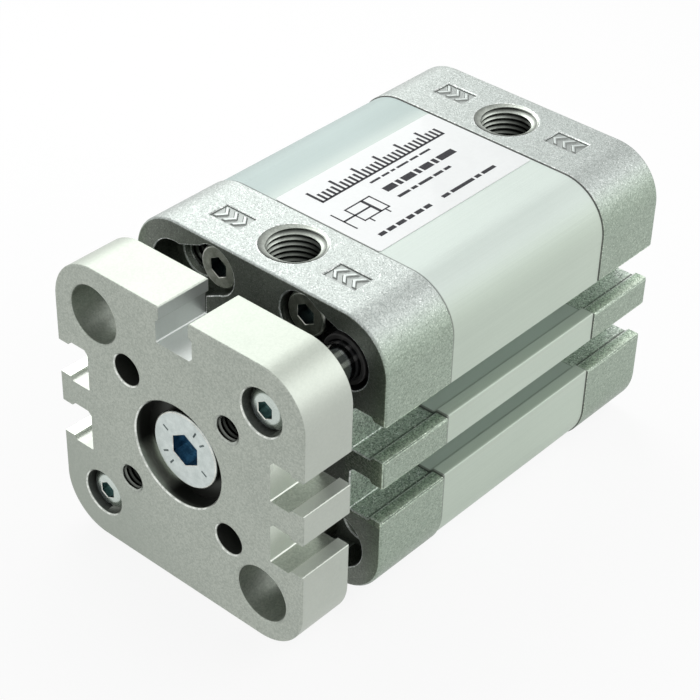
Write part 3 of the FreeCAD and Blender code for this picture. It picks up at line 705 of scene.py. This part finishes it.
for node in ("guide_bush_upper", "guide_bush_lower"):    # sleeves with a lead-in at the front
    x0, x1, outer, centre = turnedSize(node)
    inner, edge, leadIn = bushLook["bore"], bushLook["edge"], bushLook["leadIn"]
    profile = [(x0, inner), (x0, outer), (x1 - edge, outer), (x1, outer - edge), (x1, inner + leadIn),
               (x1 - leadIn, inner), (x0, inner)]
    bush = turnedPiece(node + "_sleeve", profile, centre, [darkBushAndShade])
    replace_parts(seat(bush, "body"), node)

x0, x1, outer, centre = turnedSize("rod_seal")           # collar, groove, then the lip on the rod
inner = wiperBore
profile = [(x0, inner + 0.3), (x0, outer), (x1 - 0.4, outer), (x1 - 0.3, outer - 0.1),
           (x1 - 0.3, outer - 1.1), (x1 - 0.6, outer - 1.35), (x1 - 1.4, outer - 1.5),
           (x1 - 0.5, inner + 0.8), (x1, inner + 0.5), (x1, inner + 0.2), (x1 - 1.0, inner),
           (x0 + 1.0, inner), (x0, inner + 0.3)]
seal = turnedPiece("rodWiper", profile, (0, 0, 0), [blackRubber])
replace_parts(seat(seal, "body"), "rod_seal")
print("rods, bushes and wiper made")


# ---- cut threads ----

# radii of root and crest, pitch, length and lead-in cone; bright, decay and sun set the tone, which is
# painted light and painted shade
threadSizes = {"port": {"root": 4.265, "crest": 3.93, "pitch": 0.907, "length": 7.7, "cone": 5.08,
                        "coneDepth": 0.81, "decay": 3.0, "sun": 131.0},
               "yoke": {"root": 2.09, "crest": 1.86, "pitch": 0.8, "length": plateFront - plateBack - 0.7,
                        "cone": 2.33, "coneDepth": 0.25, "bright": 1.3, "decay": 0.5},
               "front": {"root": 2.49, "crest": 2.2, "pitch": 1.0, "length": 7.8, "bright": 0.35},
               "rear": {"root": 2.49, "crest": 2.2, "pitch": 1.0, "length": 6.1}}
threadMouths = {"front": pocketFloor - 0.8, "rear": 5.8}
# for each way that a mouth looks: the directions of the cosine, of the sine and out of the hole
threadAxes = {"x": ((0, 1, 0), (0, 0, 1), (1, 0, 0)), "-x": ((0, 0, 1), (0, 1, 0), (-1, 0, 0)),
              "z": ((1, 0, 0), (0, 1, 0), (0, 0, 1))}


def threadedWall(name, mouth, outward, root, crest, pitch, length, cone=0.0, coneDepth=0.0,
                 bright=1.0, decay=1.8, sun=None):
    # helix: depth = pitch * (row / rows + turn / 2 pi); the wall is a cylinder with a lead-in cone at its
    # mouth, and radius = wall - (wall - crest) * form, fading out at both ends
    form = np.array(threadLook["form"])
    rows, turn = len(form), np.linspace(0.0, 2 * pi, threadLook["steps"] + 1)
    row = np.arange(-rows, int(length / pitch * rows) + rows + 1)
    lift = form[row % rows][:, None]
    depth = pitch * (row[:, None] / rows + turn[None, :] / (2 * pi))
    fade = np.clip(np.minimum(depth / pitch * 2.0, (length - depth) / pitch), 0.0, 1.0)
    depth = np.clip(depth, 0.0, length)
    wall = np.full(depth.shape, root)
    if coneDepth:
        wall = wall + np.clip(1.0 - depth / coneDepth, 0.0, 1.0) * (cone - root)
    radius = wall - (wall - crest) * lift * fade
    # painted light on the crests, painted shade in the roots, darkening with depth
    low = threadLook["rootTone"]
    tone = (low + (1.0 - low) * lift) * fade + threadLook["wallTone"] * (1.0 - fade) * (depth < length / 2)
    tone = bright * tone * np.exp(-depth / decay)
    turns = np.broadcast_to(turn, depth.shape)
    # painted light on the lead-in on the side at this angle, painted shade in the depth opposite
    if sun is not None:          # the lead-in is brightest on the side at this angle, the depth opposite
        lit = 0.5 + 0.5 * np.cos(turns - radians(sun))
        deep = np.clip((depth - coneDepth) / pitch, 0.0, 1.0)
        tone = tone * ((0.7 + 0.9 * lit ** 3) * (1.0 - deep) + np.minimum(3.9 * (1.0 - lit) ** 2, 1.1) * deep)
    across, other, out = (np.array(way) for way in threadAxes[outward])
    points = np.asarray(mouth, float) + (radius * np.cos(turns))[..., None] * across
    points = points + (radius * np.sin(turns))[..., None] * other - depth[..., None] * out
    faces = gridFaces(*depth.shape, flip=True)
    return ownPiece(name, points.reshape(-1, 3) * mm, faces, [threadCut], threadLook["sharpAngle"], tone)


for name in ("rear_port", "front_port"):
    x = mounts[name]["pos_m"][0] / mm
    seat(threadedWall(name + "_thread", (x, 0, capTop), "z", **threadSizes["port"]), "body")

sides = ((1, "upper"), (-1, "lower"))
for side, name in sides:
    mouth = (plateFront, side * yokeHalf, side * yokeHalf)
    seat(threadedWall("yoke_thread_" + name, mouth, "x", **threadSizes["yoke"]), "carriage")
for side, name in sides:
    mouth = (threadMouths["front"], -side * pitchHalf, side * pitchHalf)
    seat(threadedWall("front_thread_" + name, mouth, "x", **threadSizes["front"]), "body")

for k, (y, z) in enumerate(((1, 1), (1, -1), (-1, 1), (-1, -1))):
    mouth = (threadMouths["rear"], y * pitchHalf, z * pitchHalf)
    seat(threadedWall("rear_thread_%d" % (k + 1), mouth, "-x", **threadSizes["rear"]), "body")
print("threads cut")


# ---- raised marks in the pads beside the ports ----

def padRelief(name, x, y, way):
    # height = rise where the distance to the chevrons' lines is under zero, falling to 0 over the width soft
    rows, columns = padLook["rows"], padLook["columns"]
    u = np.linspace(-padLook["length"] / 2, padLook["length"] / 2, rows)
    v = np.linspace(-padLook["width"] / 2, padLook["width"] / 2, columns)
    uu, vv = np.meshgrid(u, v, indexing="ij")
    slope, far = padLook["slope"], np.full(uu.shape, padLook["length"] + padLook["width"])
    for across in padLook["across"]:
        line = np.abs(way * (vv - across) - padLook["point"] + slope * np.abs(uu)) / sqrt(1 + slope * slope)
        far = np.minimum(far, np.maximum(line - padLook["line"], np.abs(uu) - padLook["reach"]))
    edge = np.clip(0.5 - far / padLook["soft"], 0.0, 1.0)
    edge = edge * edge * (3 - 2 * edge)
    floor = capTop - padLook["depth"] + padLook["lift"]
    points = np.stack([x + uu, y + vv, floor + padLook["rise"] * edge], axis=2).reshape(-1, 3)
    # painted shade: lighter on the marks, darker on the floor and darkest on their slopes
    tone = 0.55 + 0.4 * edge - 2.2 * edge * (1 - edge)
    return ownPiece(name, points * mm, gridFaces(rows, columns), [padCast], padLook["sharpAngle"], tone)


for end, x in (("rear", padLook["inset"]), ("front", capFront - padLook["inset"])):
    for side, y in (("left", -padLook["side"]), ("right", padLook["side"])):
        seat(padRelief("pad_%s_%s" % (end, side), x, y, 1 if y < 0 else -1), "body")
print("pads made")


# ---- label ----

labelLook = {"corner": 0.5, "paper": rgb(0.86, 0.885, 0.88), "ink": rgb(0.025, 0.025, 0.03),
             "inkLight": rgb(0.07, 0.07, 0.075), "inkLift": 0.012, "gap": 0.45}


def paperFinish():
    # matt film, slightly cloudy, with faint fibres
    g = Graph("labelFilm")
    here = g.point()
    fibre = g.noise(here, 1500.0, 3.0, 0.6)
    cloud = g.noise(here, 90.0, 2.0, 0.5)
    dull = rgb(*(0.95 * part for part in labelLook["paper"][:3]))
    skin = g.blend((fibre * 0.4 + cloud * 0.6).ramp(0.3, 0.7), dull, labelLook["paper"])
    return g.finish(Base_Color=skin, Metallic=0.0, Roughness=0.32 + fibre * 0.12,
                    Normal=g.bump(fibre, 0.06, 0.00002), Coat_Weight=0.15)


def inkFinish():
    # matt ink, faintly speckled
    g = Graph("labelInk")
    speck = g.noise(g.point(), 4000.0, 2.0, 0.6)
    skin = g.blend(speck.ramp(0.45, 0.8), labelLook["ink"], labelLook["inkLight"])
    return g.finish(Base_Color=skin, Metallic=0.0, Roughness=0.6 + speck * 0.1, Specular_IOR_Level=0.2)


def roundedSheet(x0, x1, y0, y1, corner, z0, z1):
    # outline = four quarter circles joined by straight sides, as a thin closed slab
    turn = np.linspace(0, pi / 2, 9)
    centres = ((x1 - corner, y1 - corner, 0), (x0 + corner, y1 - corner, 1), (x0 + corner, y0 + corner, 2),
               (x1 - corner, y0 + corner, 3))
    ring = []
    for cx, cy, quarter in centres:
        t = turn + quarter * pi / 2
        ring.append(np.stack([cx + corner * np.cos(t), cy + corner * np.sin(t)], axis=1))
    ring = np.vstack(ring)
    count = len(ring)
    top = np.column_stack([ring, np.full(count, z1)])
    bottom = np.column_stack([ring, np.full(count, z0)])
    around = np.arange(count)
    following = (around + 1) % count
    sides = np.stack([around + count, following + count, following, around], axis=1).tolist()
    return np.vstack([top, bottom]), sides + [around.tolist(), (around[::-1] + count).tolist()]


paper, ink = paperFinish(), inkFinish()
low, high = span("label")
verts, faces = roundedSheet(low[0], high[0], low[1], high[1], labelLook["corner"], low[2], high[2])
film = ownPiece("labelFilm", verts * mm, faces, [paper])
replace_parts(seat(film, "body"), "label")


def inkRect(along, across, length, width):
    # flat mark on the label; along runs from its front edge to the rear, across from left to right
    x1, y0 = high[0] - along, low[1] + across
    return [(x1 - length, y0), (x1, y0), (x1, y0 + width), (x1 - length, y0 + width)]


# all in mm from the front and left edges: a ruled line whose ticks end on its foot, and rows of plain bars,
# each with its start, place across, lengths and width
rule = {"start": 4.0, "across": 5.45, "length": 28.0, "line": 0.4, "foot": 5.6, "ticks": 29, "tick": 0.5,
        "short": 2.0, "long": 3.3, "every": 5}
barRows = ((13.0, 6.9, (2.2, 1.6, 0.9, 2.6, 1.8, 2.4), 0.45),
           (13.0, 9.3, (2.4, 0.8, 2.6, 0.8, 2.3, 0.8, 3.6), 1.35),
           (13.0, 12.3, (2.6, 1.2, 3.0, 2.0, 1.4), 0.6),
           (3.2, 17.0, (1.4, 1.6, 1.8, 1.4, 1.6, 1.4), 0.8),
           (17.4, 17.0, (1.6, 5.2, 1.2, 3.0), 0.7))
marks = [inkRect(rule["start"], rule["across"], rule["length"], rule["line"])]
for k in range(rule["ticks"]):
    along = rule["start"] + k * (rule["length"] - rule["tick"]) / (rule["ticks"] - 1)
    tall = rule["short"] if k % rule["every"] else rule["long"]
    marks.append(inkRect(along, rule["foot"] - tall, rule["tick"], tall))
for start, across, lengths, width in barRows:
    for length in lengths:
        marks.append(inkRect(start, across, length, width))
        start += length + labelLook["gap"]

# symbol of a double-acting cylinder: its box, the piston, the rod with its end bar and the two ports
symbol = {"along": 4.6, "across": 9.3, "long": 5.6, "wide": 4.2, "line": 0.28, "pistonAt": 3.4,
          "piston": 0.55, "rodOut": 2.4, "rod": 5.9, "rodLine": 0.36, "bar": 0.5, "frontPort": 0.9,
          "rearPort": 1.2, "port": 1.0}
a, c, line, rodOut = symbol["along"], symbol["across"], symbol["line"], symbol["rodOut"]
far, side, port = a + symbol["long"], c + symbol["wide"], symbol["port"]
marks += [inkRect(a, c, symbol["long"], line), inkRect(a, side - line, symbol["long"], line),
          inkRect(a, c, line, symbol["wide"]), inkRect(far - line, c, line, symbol["wide"]),
          inkRect(a + symbol["pistonAt"], c, symbol["piston"], symbol["wide"]),
          inkRect(a - rodOut, (c + side - symbol["rodLine"]) / 2, symbol["rod"], symbol["rodLine"]),
          inkRect(a - rodOut, c - symbol["bar"], line, symbol["wide"] + 2 * symbol["bar"]),
          inkRect(a + symbol["frontPort"], side, line, port),
          inkRect(far - symbol["rearPort"], side, line, port)]
outline = np.array(marks)
top = np.full(outline.shape[:2] + (1,), high[2] + labelLook["inkLift"])
verts = np.concatenate([outline, top], axis=2).reshape(-1, 3)
faces = np.arange(len(verts)).reshape(-1, 4)
seat(ownPiece("labelMarks", verts * mm, faces, [ink]), "body")
print("label made:", len(marks), "marks")


# ---- floor, light and camera ----

studio = {"floor": rgb(0.93, 0.93, 0.93), "floorLight": rgb(0.95, 0.95, 0.95), "floorGlow": 0.88,
          "floorHalf": 1.5, "world": 0.5,
          "key": {"place": (-0.030, -0.147, 0.166), "target": (0.06, 0.0, 0.02), "size": 0.19,
                  "radiance": 2.35},
          "side": {"place": (-0.14, 0.21, 0.22), "target": (0.03, 0.02, 0.01), "size": 0.28,
                   "radiance": 1.5}}

floorZ, half = span("front_cap")[0][2] * mm, studio["floorHalf"]
floorCorners = [(-half, -half, floorZ), (half, -half, floorZ), (half, half, floorZ), (-half, half, floorZ)]
floorMesh = bpy.data.meshes.new("studioFloor")
floorMesh.from_pydata(floorCorners, [], [(0, 1, 2, 3)])
floor = bpy.data.objects.new("studioFloor", floorMesh)
bpy.context.scene.collection.objects.link(floor)


def floorFinish():
    # pale floor; seen directly or in metal it is lifted towards white and still takes the shadow
    g = Graph("paleFloor")
    grain = g.noise(g.point(), 300.0, 2.0, 0.5)
    skin = g.blend(grain, studio["floor"], studio["floorLight"])
    matt = g.node("ShaderNodeBsdfDiffuse", {}, {"Color": skin})
    glow = g.node("ShaderNodeEmission", {}, {"Color": rgb(1, 1, 1), "Strength": 1.0})
    both = g.node("ShaderNodeMixShader", {}, {0: g.seenPlainly() * studio["floorGlow"], 1: matt, 2: glow})
    g.node("ShaderNodeOutputMaterial", {}, {"Surface": both})
    return g.material


def worldFinish(world):
    # white where it is seen, and a plain dimmer light on everything else
    g = Graph("studioWorld", world)
    lit = g.node("ShaderNodeBackground", {}, {"Color": rgb(1, 1, 1), "Strength": studio["world"]})
    plain = g.node("ShaderNodeBackground", {}, {"Color": rgb(1, 1, 1), "Strength": 1.0})
    both = g.node("ShaderNodeMixShader", {}, {0: g.seenPlainly(), 1: lit, 2: plain})
    g.node("ShaderNodeOutputWorld", {}, {"Surface": both})
    return world


floorMesh.materials.append(floorFinish())
bpy.context.scene.world = worldFinish(bpy.data.worlds.new("studioWorld"))


def softBox(name, place, target, size, radiance):
    # square lamp; its power is radiance * area * pi, so that radiance 1 looks as bright as the backdrop
    data = bpy.data.lights.new(name, "AREA")
    data.shape, data.size, data.energy = "SQUARE", size, radiance * size * size * pi
    lamp = bpy.data.objects.new(name, data)
    bpy.context.scene.collection.objects.link(lamp)
    aim = (Vector(target) - Vector(place)).to_track_quat("-Z", "Y").to_matrix().to_4x4()
    lamp.matrix_world = Matrix.Translation(place) @ aim


softBox("keyBox", **studio["key"])
softBox("sideBox", **studio["side"])

bpy.context.scene.view_settings.view_transform = "Standard"

# directions of the camera's right, upper and rear sides, its place in metres, lens and sensor in millimetres
view = {"right": (-0.6542659668, 0.7555327940, 0.0332602162),
        "up": (-0.4353700492, -0.4122474581, 0.8003155337),
        "back": (0.6183760708, 0.5091387144, 0.5986558314), "place": (0.2312171, 0.1604711, 0.1793918),
        "lens": 103.1436, "sensor": 36.0, "shift": (-0.04115714, 0.03235714), "clip": (0.01, 20.0)}
data = bpy.data.cameras.new("camera")
data.sensor_width, data.lens = view["sensor"], view["lens"]
data.shift_x, data.shift_y = view["shift"]
data.clip_start, data.clip_end = view["clip"]
camera = bpy.data.objects.new("camera", data)
bpy.context.scene.collection.objects.link(camera)
turned = Matrix((view["right"], view["up"], view["back"])).transposed().to_4x4()
camera.matrix_world = Matrix.Translation(view["place"]) @ turned
bpy.context.scene.camera = camera
print("studio ready")
